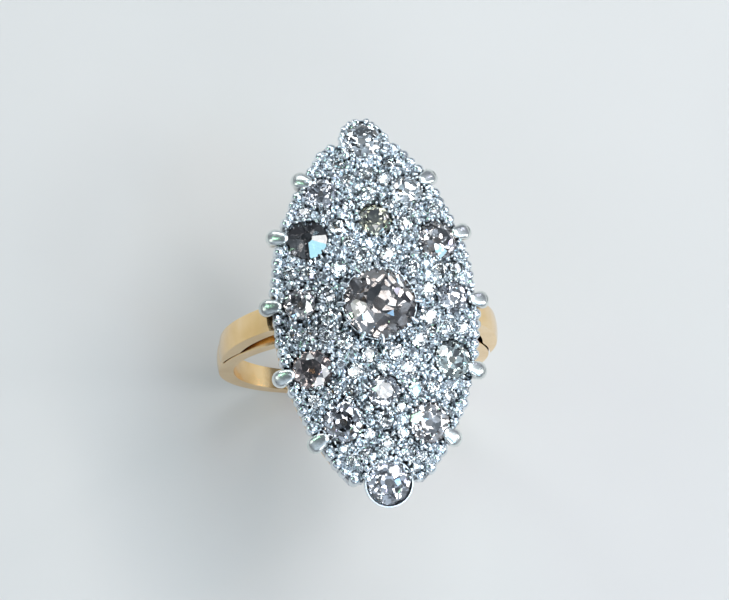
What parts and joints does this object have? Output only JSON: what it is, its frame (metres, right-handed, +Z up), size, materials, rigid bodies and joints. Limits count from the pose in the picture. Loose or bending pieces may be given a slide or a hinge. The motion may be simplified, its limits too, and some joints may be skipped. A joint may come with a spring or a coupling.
{
  "type": "cocktail ring",
  "caption": "Cocktail ring with a domed pointed-oval head, set all over with old-cut stones, on a plain yellow-gold band that forks at the shoulders.",
  "frame": {"origin": "centre of the finger hole, midway along the head", "axes": "+Y along the finger and along the head's long axis, +X across the finger, +Z up through the middle of the head"},
  "size_m": [0.0196, 0.0267, 0.0243],
  "materials": {
    "yellow_gold": "polished yellow gold, worn soft",
    "white_metal": "bright-cut white metal, dark in the recesses",
    "clear_stone": "faceted, clear, faintly tinted",
    "champagne_stone": "faceted, light brown",
    "smoky_stone": "faceted, smoky grey"
  },
  "bodies": {
    "root": {"shank": "yellow_gold", "left_shoulder": "yellow_gold", "right_shoulder": "yellow_gold", "base_rail": "yellow_gold", "gallery_posts": "yellow_gold", "left_gallery_rail": "yellow_gold", "right_gallery_rail": "yellow_gold", "tip_struts": "yellow_gold", "head_plate": "white_metal", "centre_collet": "white_metal", "centre_claws": "white_metal", "top_tip_collet": "white_metal", "bottom_tip_collet": "white_metal", "left_side_claws": "white_metal", "right_side_claws": "white_metal", "edge_beads": "white_metal", "field_grains": "white_metal", "centre_stone": "clear_stone", "top_tip_stone": "clear_stone", "bottom_tip_stone": "clear_stone", "upper_axis_stone": "champagne_stone", "lower_axis_stone": "clear_stone", "left_top_stone": "clear_stone", "right_top_stone": "clear_stone", "left_upper_stone": "smoky_stone", "right_upper_stone": "clear_stone", "left_middle_stone": "clear_stone", "right_middle_stone": "clear_stone", "left_lower_stone": "champagne_stone", "right_lower_stone": "clear_stone", "left_bottom_stone": "clear_stone", "right_bottom_stone": "clear_stone", "halo_stones": "clear_stone", "upper_small_stones": "clear_stone", "lower_small_stones": "clear_stone"}
  },
  "joints": []
}
